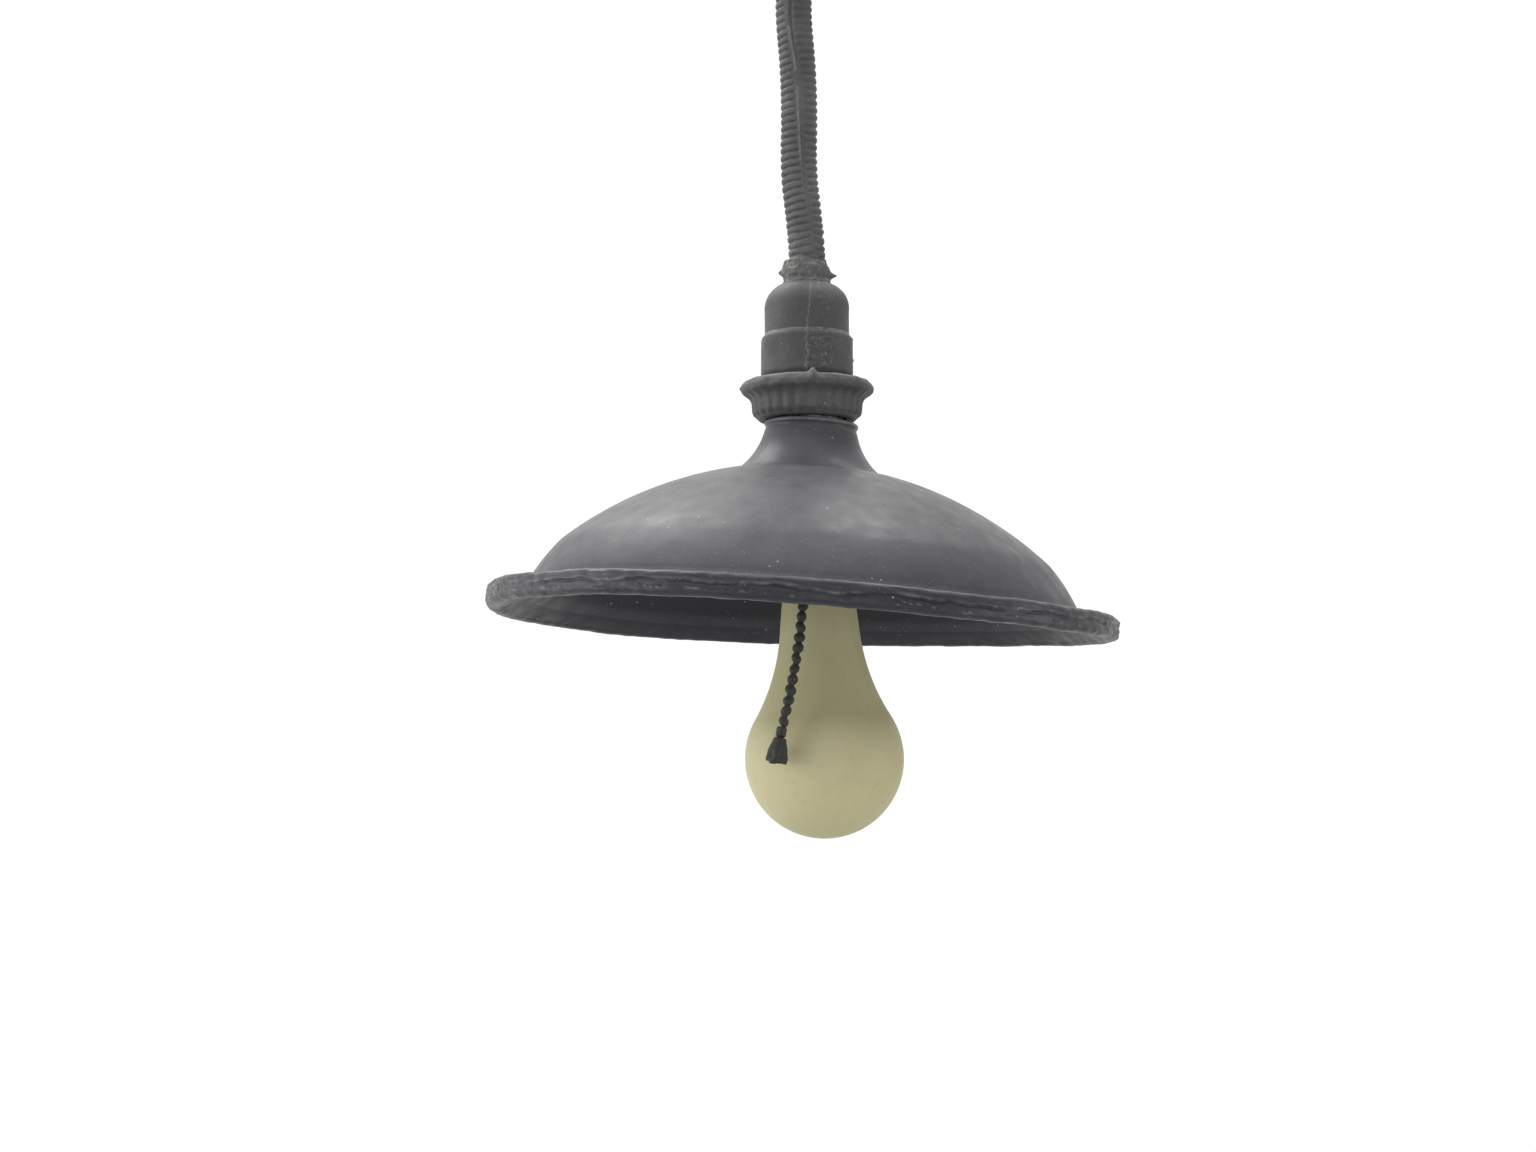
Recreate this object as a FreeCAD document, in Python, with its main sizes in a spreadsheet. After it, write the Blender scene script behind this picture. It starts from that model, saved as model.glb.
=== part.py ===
"""Pull-chain pendant ceiling light on a ribbed sleeve cord, millimetres, +Z up.

The origin is the centre of the crossbar's top face, in the plane of the ceiling, so the lamp is all below it.
The canopy hides a two-pin swivel. The cover (cap, shell and fluted collar) hangs plumb under the cord, the
core inside it leans about the cord's entry and carries the bulb, and the shade sits crooked on its neck."""
import FreeCAD, Part

import math
import os

import Sketcher

Vector = FreeCAD.Vector
X, Y, Z = Vector(1, 0, 0), Vector(0, 1, 0), Vector(0, 0, 1)

DIMENSIONS = {
    # ceiling fitting
    "bar_long": 102, "bar_wide": 16, "bar_thick": 2.5, "box_screw_x": 44.45, "box_slot_r": 2.3,
    "box_slot_long": 9, "ground_x": -18, "stud_x": 32, "stud_r": 2, "nipple_r": 4.8, "nipple_bore": 3,
    "canopy_r": 55, "canopy_wall": 1.2, "canopy_deep": 24, "canopy_neck_r": 17, "canopy_neck_drop": 52,
    "canopy_mouth_r": 12.6, "pivot_drop": 32, "pin_r": 2, "pin_play": 0.05,
    # cord
    "cord_r": 7, "cord_bore": 5.2, "wire_r": 1.3, "wire_apart": 2.2, "grip_r": 9.3,
    # cover, all round the lamp's plumb axis
    "lamp_x": 3.5, "cap_top": 191.8, "cap_r": 16.2, "cap_shoulder": 201.5, "cap_end": 211.3,
    "cover_wall": 1.1, "shell_r": 17.45, "shell_end": 228.4, "collar_top": 229.2, "collar_r": 24.6,
    "collar_waist": 20.8, "collar_end": 243.7, "collar_bore": 15.2, "flute_r": 1.1,
    # core, leaning
    "core_lean": 2, "core_r": 12, "core_bore": 10.4, "skirt_top": 262, "skirt_end": 310, "skirt_r": 15.5,
    "skirt_bore": 13.9, "screw_bore": 13.2, "contact_drop": 281.6,
    # switch
    "lever_x": 1.7, "rotor_y": 5, "rotor_drop": 273, "rotor_r": 4,
    # chain
    "chain_top_x": 8.5, "chain_top_y": 21.5, "chain_top": 276.4, "chain_slope_x": 0.175,
    "chain_slope_y": 0.11, "bead_r": 1.9, "bead_pitch": 3.9, "bead_count": 22,
    # bulb
    "base_r": 12.75, "base_end": 308, "bulb_end": 401.4, "bulb_r": 29.7, "sphere_tall": 46,
    "bulb_neck_r": 13.3, "bulb_flare_r": 14.9, "bulb_flare_up": 78, "glass_wall": 1,
    # shade
    "shade_tilt": 3, "shade_shift": 0.7, "shade_hinge": 262.8, "neck_top": 244.9, "neck_r": 17.1,
    "lip_bore": 13.4, "shade_wall": 1.4, "dome_r": 140, "dome_centre": 401.5, "rim_r": 117.9,
    "roll_r": 3.5, "rim_drop": 317.9,
}
FLUTES = 28

doc = FreeCAD.newDocument("pendant_light")
sheet = doc.addObject("Spreadsheet::Sheet", "dims")
for row, (alias, number) in enumerate(DIMENSIONS.items(), start=1):
    sheet.set(f"A{row}", alias)
    sheet.set(f"B{row}", str(number))
    sheet.setAlias(f"B{row}", alias)
doc.recompute()


class Size:
    """A length with both its number and the sheet expression that gives it."""

    def __init__(self, number, text=None):
        self.number = float(number)
        self.text = text or repr(float(number))

    def joined(self, other, sign, number):
        return Size(number, f"({self.text} {sign} {size(other).text})")

    def __add__(self, other):
        return self.joined(other, "+", self.number + size(other).number)

    def __sub__(self, other):
        return self.joined(other, "-", self.number - size(other).number)

    def __mul__(self, other):
        return self.joined(other, "*", self.number * size(other).number)

    def __truediv__(self, other):
        return self.joined(other, "/", self.number / size(other).number)

    def __neg__(self):
        return Size(-self.number, f"(0 - {self.text})")


def size(thing):
    return thing if isinstance(thing, Size) else Size(thing)


class Sheet:
    """Reads the sheet's cells as sizes: D.cap_r is the cell named cap_r."""

    def __getattr__(self, alias):
        return Size(sheet.get(alias), f"dims.{alias}")


D = Sheet()
PARTS = []


def place(shape, angle_deg=0, about=(0, 0, 0), shift_x=0):
    """Turn about +Y through a point, then shift along +X."""
    turn = FreeCAD.Placement(Vector(), FreeCAD.Rotation(Y, angle_deg), Vector(*about))
    shape.Placement = FreeCAD.Placement(Vector(shift_x, 0, 0), FreeCAD.Rotation()) * turn * shape.Placement


def plumb(part):
    place(part, shift_x=D.lamp_x.number)


def in_core(part):
    """The core leans about the cord's entry at the top of the cap."""
    place(part, -D.core_lean.number, (0, 0, -D.cap_top.number), D.lamp_x.number)


def on_shade(part):
    place(part, D.shade_tilt.number, (0, 0, -D.shade_hinge.number), (D.lamp_x + D.shade_shift).number)


def still(part):
    """The ceiling fitting stays where it is drawn."""


def keep(part, name, where=still):
    part.Label = name
    where(part)
    PARTS.append(part)
    return part


def bind(sketch, constraint, length):
    index = sketch.addConstraint(constraint)
    if "dims." in length.text:
        sketch.setExpression(f"Constraints[{index}]", length.text)


def pin_point(sketch, edge, end, across, up):
    """Hold one end of an edge at a place, each way by its own dimension."""
    for length, kind, axis in ((across, "DistanceX", -2), (up, "DistanceY", -1)):
        if length.number == 0:
            sketch.addConstraint(Sketcher.Constraint("PointOnObject", edge, end, axis))
        else:
            bind(sketch, Sketcher.Constraint(kind, -1, 1, edge, end, length.number), length)


def bulged_edge(start, end, radius):
    """An arc from start to end, its centre to the left of the way, or to the right below a radius of 0."""
    half = (end - start) / 2
    depth = abs(radius) - math.sqrt(max(radius * radius - half.Length ** 2, 0))
    left = Vector(-half.y, half.x, 0).normalize()
    middle = start + half - left * math.copysign(depth, radius)
    return Part.Arc(start, middle, end) if radius > 0 else Part.Arc(end, middle, start)


def draw(sketch, outline):
    """Close an outline of corners (across, up) or (across, up, radius of the arc that reaches it)."""
    corners = [(size(c[0]), size(c[1]), size(c[2]) if len(c) > 2 else None) for c in outline]
    ends = []
    for here, there in zip(corners, corners[1:] + corners[:1]):
        start = Vector(here[0].number, here[1].number, 0)
        end = Vector(there[0].number, there[1].number, 0)
        if there[2] is None:
            edge = sketch.addGeometry(Part.LineSegment(start, end), False)
            ends.append((edge, 1, 2))
            continue
        edge = sketch.addGeometry(bulged_edge(start, end, there[2].number), False)
        forward = (sketch.Geometry[edge].StartPoint - start).Length < 1e-6
        ends.append((edge, 1, 2) if forward else (edge, 2, 1))
        radius = there[2] if there[2].number > 0 else -there[2]
        bind(sketch, Sketcher.Constraint("Radius", edge, radius.number), radius)
    for (edge, _, last), (following, first, _) in zip(ends, ends[1:] + ends[:1]):
        sketch.addConstraint(Sketcher.Constraint("Coincident", edge, last, following, first))
    for (edge, first, _), corner in zip(ends, corners):
        pin_point(sketch, edge, first, corner[0], corner[1])


def sketch_on(body, role, name):
    sketch = body.newObject("Sketcher::SketchObject", name)
    plane = next(f for f in body.Origin.OriginFeatures if f.Role == role)
    sketch.AttachmentSupport = [(plane, "")]
    sketch.MapMode = "FlatFace"
    return sketch


def turned(name, outline, where=still, listed=True):
    """A body of revolution about Z from an outline of (radius, height) corners."""
    body = doc.addObject("PartDesign::Body", name)
    sketch = sketch_on(body, "XZ_Plane", f"{name}_outline")
    draw(sketch, outline)
    doc.recompute()
    spin = body.newObject("PartDesign::Revolution", f"{name}_turned")
    spin.Profile = sketch
    spin.ReferenceAxis = (sketch, ["V_Axis"])
    spin.Angle = 360
    doc.recompute()
    return keep(body, name, where) if listed else body


def tube(name, outer, bore, top, end, where=still, listed=True):
    outline = [(bore, -size(end)), (outer, -size(end)), (outer, -size(top)), (bore, -size(top))]
    return turned(name, outline, where, listed)


def set_sizes(thing, **sizes):
    for key, length in sizes.items():
        thing.setExpression(key, size(length).text)


def stand(thing, x, y, z):
    for key, length in (("x", x), ("y", y), ("z", z)):
        thing.setExpression(f"Placement.Base.{key}", size(length).text)


def block(name, long, wide, tall, x, y, top):
    """A box centred on x and y, with its top face at a height."""
    box = doc.addObject("Part::Box", name)
    set_sizes(box, Length=long, Width=wide, Height=tall)
    stand(box, size(x) - size(long) / 2, size(y) - size(wide) / 2, size(top) - size(tall))
    return box


def rod(name, radius, length, x, y, z, way=Z):
    """A round bar that starts at a point and runs one way."""
    bar = doc.addObject("Part::Cylinder", name)
    set_sizes(bar, Radius=radius, Height=length)
    bar.Placement = FreeCAD.Placement(Vector(), FreeCAD.Rotation(Z, way))
    stand(bar, x, y, z)
    return bar


def ball(name, radius, x, y, z):
    sphere = doc.addObject("Part::Sphere", name)
    set_sizes(sphere, Radius=radius)
    stand(sphere, x, y, z)
    return sphere


def cut(name, base, *tools):
    for number, tool in enumerate(tools):
        result = doc.addObject("Part::Cut", name if number == len(tools) - 1 else f"{name}_cut{number}")
        result.Base = base
        result.Tool = tool
        base = result
    doc.recompute()
    return base


def fuse(name, *pieces):
    result = doc.addObject("Part::MultiFuse", name)
    result.Shapes = list(pieces)
    doc.recompute()
    return result


def group(name, *pieces):
    """Separate solids that share one node."""
    result = doc.addObject("Part::Compound", name)
    result.Links = list(pieces)
    doc.recompute()
    return result


def hexagon(name, across_flats, thick, top, bore):
    prism = doc.addObject("Part::Prism", f"{name}_prism")
    prism.Polygon = 6
    set_sizes(prism, Circumradius=size(across_flats) / math.sqrt(3), Height=thick)
    stand(prism, 0, 0, size(top) - size(thick))
    return cut(name, prism, rod(f"{name}_bore", bore, size(thick) + 2, 0, 0, size(top) - size(thick) - 1))


def bent_path(points, along=Vector()):
    """Straight runs joined by tangent arcs as large as the runs allow, and the arcs' radii."""
    corners = [Vector(*p) + along for p in points]
    edges, radii, here = [], [], corners[0]
    for before, corner, after in zip(corners, corners[1:], corners[2:]):
        reach = 0.45 * min((corner - before).Length, (after - corner).Length)
        arrive, leave = (corner - before).normalize(), (after - corner).normalize()
        radii.append(reach / math.tan(arrive.getAngle(leave) / 2))
        start, end = corner - arrive * reach, corner + leave * reach
        centre = corner + (leave - arrive).normalize() * math.hypot(radii[-1], reach)
        middle = centre + (corner - centre).normalize() * radii[-1]
        edges += [Part.LineSegment(here, start).toShape(), Part.Arc(start, middle, end).toShape()]
        here = end
    edges.append(Part.LineSegment(here, corners[-1]).toShape())
    return Part.Wire(edges), radii


def piped(name, points, radius, bore=0, along=Vector(), where=still):
    """A round tube or wire along a bent path, checked against its section times its length."""
    path, radii = bent_path(points, along)
    start = path.Edges[0]
    way = start.tangentAt(start.FirstParameter)

    def sweep(r):
        ring = Part.Wire([Part.Circle(Vector(*points[0]) + along, way, r).toShape()])
        return path.makePipeShell([ring], True, False)

    solid = sweep(radius).cut(sweep(bore)) if bore else sweep(radius)
    expected = math.pi * (radius ** 2 - bore ** 2) * path.Length
    print(f"{name}: {path.Length:.1f} long, smallest arc {min(radii):.0f}, "
          f"volume {solid.Volume:.0f} of {expected:.0f}")
    part = doc.addObject("Part::Feature", name)
    part.Shape = solid
    return keep(part, name, where)


# ---- ceiling fitting, which stays still ----

def crossbar():
    bar = block("bar_blank", D.bar_long, D.bar_wide, D.bar_thick, 0, 0, 0)
    deep, under = D.bar_thick + 2, -D.bar_thick - 1
    holes = [rod("bar_nipple_hole", D.nipple_r + 0.1, deep, 0, 0, under)]
    holes.append(rod("bar_ground_hole", 1.7, deep, D.ground_x, 0, under))
    slot_straight = D.box_slot_long - D.box_slot_r * 2
    for side in (-1, 1):
        holes.append(rod(f"bar_stud_hole{side + 1}", D.stud_r + 0.1, deep, D.stud_x * side, 0, under))
        slot_x = D.box_screw_x * side
        holes.append(block(f"bar_slot{side + 1}", slot_straight, D.box_slot_r * 2, deep, slot_x, 0, 1))
        for end in (-1, 1):
            end_x = slot_x + slot_straight / 2 * end
            holes.append(rod(f"bar_slot_end{side + 1}{end + 1}", D.box_slot_r, deep, end_x, 0, under))
    keep(cut("crossbar", bar, *holes), "crossbar")


def pan_screw(name, x, y, face, head_r, shank_r, reach):
    """A screw whose head is under a face and whose shank goes up from it."""
    shank = rod(f"{name}_shank", shank_r, size(reach) + 1.6, x, y, -size(face) - 1.6)
    head = rod(f"{name}_head", head_r, 1.6, x, y, -size(face) - 1.65)
    slot = block(f"{name}_slot", size(head_r) * 3, 0.7, 0.6, x, y, -size(face) - 1.3)
    return cut(name, fuse(f"{name}_solid", shank, head), slot)


def canopy_fasteners():
    studs, nuts = [], []
    for side in (-1, 1):
        studs.append(rod(f"stud{side + 1}", D.stud_r, 29, D.stud_x * side, 0, -29.4))
        dome = ball(f"nut_dome{side + 1}", 4.2, D.stud_x * side, 0, -D.canopy_deep - 4.4)
        base = rod(f"nut_base{side + 1}", 4.6, 4.2, D.stud_x * side, 0, -D.canopy_deep - 4.4)
        bore = rod(f"nut_bore{side + 1}", D.stud_r + 0.1, 6.4, D.stud_x * side, 0, -D.canopy_deep - 6.2)
        nuts.append(cut(f"nut{side + 1}", fuse(f"nut_solid{side + 1}", dome, base), bore))
    keep(group("canopy_studs", *studs), "canopy_studs")
    keep(group("canopy_nuts", *nuts), "canopy_nuts")
    keep(pan_screw("ground_screw", D.ground_x, 0, D.bar_thick, 3, 1.6, D.bar_thick), "ground_screw")


def canopy():
    """A spun dish with a flat underside and a round-nosed neck in its middle."""
    wall, deep, mouth = D.canopy_wall, D.canopy_deep, D.canopy_mouth_r
    rim, neck, nose = D.canopy_r, D.canopy_neck_r, D.canopy_neck_drop
    shell = turned("canopy_shell", [
        (mouth, -nose), (neck - 4, -nose), (neck, -nose + 4, 4), (neck, -deep - 5), (neck + 5, -deep, -5),
        (rim - 13, -deep), (rim - 1, -deep + 12, 12), (rim, -0.3, 70), (rim - wall, -0.3),
        (rim - 1 - wall, -deep + 12, -70), (rim - 13, -deep + wall, -(Size(12) - wall)), (neck + 5, -deep + wall),
        (neck - wall, -deep - 5, wall + 5), (neck - wall, -nose + 4),
        (neck - 4, -nose + wall, -(Size(4) - wall)), (mouth, -nose + wall)], listed=False)
    holes = [rod(f"canopy_hole{s + 1}", D.stud_r + 0.3, 6, D.stud_x * s, 0, -deep - 2) for s in (-1, 1)]
    keep(cut("canopy", shell, *holes), "canopy")


def hanger():
    """A threaded nipple carries the yoke, whose ears hold the fore-and-aft pin."""
    tube("hanger_nipple", D.nipple_r, D.nipple_bore, 0.5, 14.5)
    keep(hexagon("nipple_nut", 14, 2.6, -D.bar_thick - 0.05, D.nipple_r + 0.1), "nipple_nut")
    plate = block("yoke_plate", 10, 19, 2.5, 0, 0, -8)
    ears = [block(f"yoke_ear{s + 1}", 10, 2.5, 27.5, 0, 8.25 * s, -8) for s in (-1, 1)]
    solid = fuse("yoke_solid", plate, *ears)
    pin_hole = rod("yoke_pin_hole", D.pin_r + 0.03, 30, 0, -15, -D.pivot_drop, Y)
    centre = rod("yoke_nipple_hole", D.nipple_r - 0.9, 6, 0, 0, -12)
    stem = rod("yoke_stem_room", D.nipple_r + 0.1, 3, 0, 0, -10.6)
    keep(cut("hanger_yoke", solid, pin_hole, centre, stem), "hanger_yoke")
    keep(hexagon("yoke_nut", 11.4, 2.6, -10.6, D.nipple_r + 0.1), "yoke_nut")
    pin = rod("yoke_pin_shank", D.pin_r, 20.2, 0, -10.1, -D.pivot_drop, Y)
    heads = [rod(f"yoke_pin_head{s + 1}", 3, 0.6, 0, 9.9 * s - 0.3, -D.pivot_drop, Y) for s in (-1, 1)]
    keep(fuse("yoke_pin", pin, *heads), "yoke_pin")


def swivel():
    """The cross turns on the yoke's pin and holds the fork on its own two trunnions."""
    body = block("cross_block", 10.4, 12.4, 10, 0, 0, -D.pivot_drop + 5)
    trunnions = rod("cross_trunnions", D.pin_r, 18, -9, 0, -D.pivot_drop, X)
    bore = rod("cross_bore", D.pin_r + D.pin_play, 14, 0, -7, -D.pivot_drop, Y)
    keep(cut("swivel_cross", fuse("cross_solid", body, trunnions), bore), "swivel_cross")


def fork():
    plate = block("fork_plate", 17.2, 9, 3, 0, 0, -42)
    ears = [block(f"fork_ear{s + 1}", 2.6, 9, 17.5, 7.3 * s, 0, -27.5) for s in (-1, 1)]
    stem = rod("fork_stem", 5, 7, 0, 0, -51.4)
    holes = rod("fork_holes", D.pin_r + D.pin_play, 30, -15, 0, -D.pivot_drop, X)
    wires = rod("fork_wire_way", 4.2, 14, 0, 0, -53)
    slot = block("fork_wire_slot", 3.2, 12, 1.8, 0, 0, -41.8)
    keep(cut("swivel_fork", fuse("fork_solid", plate, *ears, stem), holes, wires, slot), "swivel_fork")
    turned("cord_grip", [
        (5.1, -51.7), (5.1, -46), (7.4, -46), (D.grip_r, -48, 2), (D.grip_r, -56.8), (D.grip_r - 0.8, -57.4),
        (D.grip_r - 0.8, -63), (D.cord_r + 0.3, -63), (D.cord_r + 0.3, -51.7)])
    turned("grip_nut", [
        (D.cord_r + 0.3, -63.2), (D.grip_r - 0.7, -63.2), (D.grip_r - 0.7, -57.6), (D.grip_r + 0.6, -57.6),
        (D.grip_r + 0.6, -64), (D.grip_r - 0.9, -65.4, -1.8), (D.cord_r + 0.3, -65.4)])


# ---- cord: a ribbed sleeve with two conductors inside ----

CORD_ROUTE = [
    (3.7, 0, -190), (3.75, 0, -181), (2.6, 0.2, -167), (0.3, 0.2, -148), (0.75, -0.2, -124), (0.1, -0.1, -105),
    (-1.9, 0.2, -84), (0, 0, -66), (0, 0, -51.8),
]


def cord():
    connectors = []
    piped("cord_sleeve", CORD_ROUTE, D.cord_r.number, D.cord_bore.number)
    for name, side in (("conductor_line", -1), ("conductor_neutral", 1)):
        apart = Vector(0, side * D.wire_apart.number, 0)
        tail = [(0, side * 0.3, -40.4), (0, side * 9.6, -38), (0, side * 10.6, -28), (0, side * 13.8, -18)]
        lead = [(8.6 if side > 0 else -1.2, side * 1.2, -206), (4.2, 0, -197)]
        piped(name, lead + CORD_ROUTE + tail, D.wire_r.number, along=apart)
        cone_y = side * (13.8 + D.wire_apart.number)
        cone = doc.addObject("Part::Cone", f"cone{side + 1}")
        set_sizes(cone, Radius1=5, Radius2=3, Height=14)
        stand(cone, 0, cone_y, -19.2)
        way = rod(f"connector_way{side + 1}", 2, 8, 0, cone_y, -22)
        connectors.append(cut(f"connector{side + 1}", cone, way))
    keep(group("wire_connectors", *connectors), "wire_connectors")


# ---- cover: boot, cap, shell and fluted collar ----

def cover():
    cap, wall, top, shoulder = D.cap_r, D.cover_wall, D.cap_top, D.cap_shoulder
    bore = D.cord_r + 0.25
    turned("cord_boot", [
        (bore, -top + 0.2), (9.9, -top + 0.2), (10.3, -top + 3, 4), (8.4, -top + 8.9),
        (bore, -top + 9.1)], plumb)
    turned("socket_cap", [
        (bore, -top), (10.1, -top), (cap, -shoulder, -9.6), (cap, -D.cap_end), (cap - wall, -D.cap_end),
        (cap - wall, -shoulder), (10.1, -top - wall, Size(9.6) - wall), (bore, -top - wall)], plumb)
    shell = D.shell_r
    turned("socket_shell", [
        (shell - 0.9, -D.cap_end - 0.2), (shell, -D.cap_end - 2), (shell, -D.shell_end + 2.4),
        (shell - 0.9, -D.shell_end), (shell - 2.2, -D.shell_end), (shell - 2.2, -D.shell_end + 1.2),
        (shell - wall, -D.shell_end + 1.4), (shell - wall, -D.cap_end - 1.5), (shell - 2.2, -D.cap_end - 1.5),
        (shell - 2.2, -D.cap_end - 0.2)], plumb)
    tube("insulating_liner", cap - wall - 0.1, cap - wall - 0.6, 203, D.shell_end - 5.4, plumb)


def collar():
    """The fluted collar: a round-edged flange, a flared waist cut with upright flutes, and a chamfered foot."""
    top, end, rim, waist = D.collar_top, D.collar_end, D.collar_r, D.collar_waist
    body = turned("collar_blank", [
        (D.collar_bore, -end), (waist - 2.6, -end), (waist - 0.1, -end + 1.9), (waist + 0.2, -end + 5.4),
        (rim - 0.3, -end + 9.3, -5), (rim - 0.2, -top - 2.6, 2.2), (rim - 2.6, -top, 2.6),
        (D.collar_bore, -top)], listed=False)
    sketch = sketch_on(body, "XY_Plane", "flute_outline")
    sketch.AttachmentOffset = FreeCAD.Placement(Vector(0, 0, -end.number - 1), FreeCAD.Rotation())
    across = waist + D.flute_r * 0.55
    circle = sketch.addGeometry(Part.Circle(Vector(across.number, 0, 0), Z, D.flute_r.number), False)
    pin_point(sketch, circle, 3, across, size(0))
    bind(sketch, Sketcher.Constraint("Radius", circle, D.flute_r.number), D.flute_r)
    doc.recompute()
    flute = body.newObject("PartDesign::Pocket", "flute")
    flute.Profile = sketch
    flute.Length = 10.2
    flute.Reversed = True
    doc.recompute()
    before = body.Shape.Volume
    ring = body.newObject("PartDesign::PolarPattern", "flutes")
    ring.Originals = [flute]
    ring.Axis = (sketch, ["N_Axis"])
    ring.Angle = 360
    ring.Occurrences = FLUTES
    body.Tip = ring
    doc.recompute()
    print(f"fluted_collar: pattern takes {before - body.Shape.Volume:.0f}")
    keep(body, "fluted_collar", plumb)


# ---- core: terminals, nipple, switch and lamp socket, leaning together ----

def terminals():
    blank = rod("terminal_blank", 13.2, 15, 0, 0, -224)
    ways = [rod(f"terminal_way{s + 1}", 3.2, 17, 0, 7.4 * s, -225) for s in (-1, 1)]
    faces = [block(f"terminal_face{s + 1}", 6, 14, 9, 12.5 * s, 0, -208) for s in (-1, 1)]
    keep(cut("terminal_block", blank, *ways, *faces), "terminal_block", in_core)
    for name, side in (("terminal_screw_line", -1), ("terminal_screw_neutral", 1)):
        start = 9.6 if side > 0 else -9.6
        head = rod(f"{name}_head", 2.9, 1.6, start, 0, -213, X * side)
        keep(group(name, head), name, in_core)
    straps = (("strap_line", -1, 267.6), ("strap_neutral", 1, 282.5))
    for name, side, end in straps:
        strip = block(f"{name}_strip", 3, 0.8, end - 210, 0, 7.4 * side, -210)
        keep(group(name, strip), name, in_core)


def core_tube():
    turned("core_nipple", [
        (D.core_bore, -268), (D.core_r, -268), (D.core_r, -226.4), (14.6, -226.4), (14.6, -224.6),
        (D.core_bore, -224.6)], in_core)
    tube("core_locknut", 13.7, D.core_r + 0.15, 265.3, 267.6, in_core)


def lamp_socket():
    skirt = turned("skirt_blank", [
        (D.skirt_bore, -D.skirt_end), (D.skirt_r - 0.5, -D.skirt_end), (D.skirt_r, -D.skirt_end + 1, 1.2),
        (D.skirt_r, -D.skirt_top - 1.5), (D.skirt_r - 1.5, -D.skirt_top, 1.5), (D.core_r + 0.15, -D.skirt_top),
        (D.core_r + 0.15, -D.skirt_top - 3), (D.skirt_bore, -D.skirt_top - 3)], listed=False)
    slot = block("skirt_slot", 3, 6, 15.5, D.lever_x, -14.5, -269.5)
    keep(cut("lamp_skirt", skirt, slot), "lamp_skirt", in_core)
    disc = turned("contact_disc_blank", [(2, -280.4), (13.7, -280.4), (13.7, -279), (2, -279)], listed=False)
    strap_way = block("contact_disc_way", 4, 1.4, 4, 0, 7.4, -278)
    lever_way = block("contact_disc_lever_way", 3, 8, 4, D.lever_x, -14, -278)
    keep(cut("contact_disc", disc, strap_way, lever_way), "contact_disc", in_core)
    tongue = block("tongue_leaf", 4, 9, 0.6, 0, 0, -280.6)
    rivet = rod("tongue_rivet", 1.9, 1.8, 0, 0, -280.8)
    keep(fuse("centre_contact", tongue, rivet), "centre_contact", in_core)
    turned("screw_shell", [
        (D.screw_bore, -D.base_end), (D.screw_bore + 0.5, -D.base_end), (D.screw_bore + 0.5, -282.6),
        (6.8, -282.6), (6.8, -283), (D.screw_bore, -283)], in_core)


def switch():
    """A ratchet switch: the chain pulls the lever, the lever turns the rotor, a leaf touches its notches."""
    blank = rod("switch_blank", 13.5, 10.6, 0, 0, -278.8)
    slot_y = -D.rotor_y - 3
    room = block("switch_room", 7, 22, 12, D.lever_x, slot_y, -267.8)
    way = block("switch_strap_way", 4, 2.6, 14, 0, 7.4, -266)
    lever_x = D.lever_x
    shaft_way = rod("switch_shaft_way", 1.25, 12, lever_x - 6, -D.rotor_y, -D.rotor_drop, X)
    keep(cut("switch_body", blank, room, way, shaft_way), "switch_body", in_core)
    shaft = rod("rotor_shaft_bar", 1.2, 10, lever_x - 5, -D.rotor_y, -D.rotor_drop, X)
    keep(group("rotor_shaft", shaft), "rotor_shaft", in_core)
    wheel = rod("rotor_wheel", D.rotor_r, 1.8, lever_x + 0.9, -D.rotor_y, -D.rotor_drop, X)
    bore = rod("rotor_bore", 1.25, 4, lever_x, -D.rotor_y, -D.rotor_drop, X)
    teeth = []
    for step in range(8):
        turn = math.radians(45 * step)
        y = -D.rotor_y + D.rotor_r * math.cos(turn)
        z = -D.rotor_drop + D.rotor_r * math.sin(turn)
        teeth.append(rod(f"rotor_notch{step}", 0.8, 4, lever_x, y, z, X))
    keep(cut("switch_rotor", wheel, bore, *teeth), "switch_rotor", in_core)
    arm = block("lever_arm", 1.4, 16.5, 2.4, lever_x - 0.2, -D.rotor_y - 8, -D.rotor_drop + 1.2)
    hub = rod("lever_hub", 2.6, 1.4, lever_x - 0.9, -D.rotor_y, -D.rotor_drop, X)
    lever_bore = rod("lever_bore", 1.25, 4, lever_x - 2, -D.rotor_y, -D.rotor_drop, X)
    keep(cut("pull_lever", fuse("lever_solid", arm, hub), lever_bore), "pull_lever", in_core)
    coil = doc.addObject("Part::Torus", "lever_coil")
    set_sizes(coil, Radius1=2, Radius2=0.35)
    coil.Placement = FreeCAD.Placement(Vector(), FreeCAD.Rotation(Z, X))
    stand(coil, lever_x - 1.7, -D.rotor_y, -D.rotor_drop)
    keep(group("return_spring", coil), "return_spring", in_core)
    leaf = block("leaf_strip", 2.2, 6.4, 0.5, lever_x + 1.8, -D.rotor_y + 1.6, -D.rotor_drop + 4.9)
    keep(group("switch_leaf", leaf), "switch_leaf", in_core)


# ---- pull chain ----

def along_chain(part):
    """Turn a part drawn down the Z axis so that it hangs along the chain's own slant."""
    way = Vector(-D.chain_slope_x.number, -D.chain_slope_y.number, -1)
    top = Vector(D.chain_top_x.number, -D.chain_top_y.number, -D.chain_top.number)
    part.Placement = FreeCAD.Placement(top, FreeCAD.Rotation(-Z, way))


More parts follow.
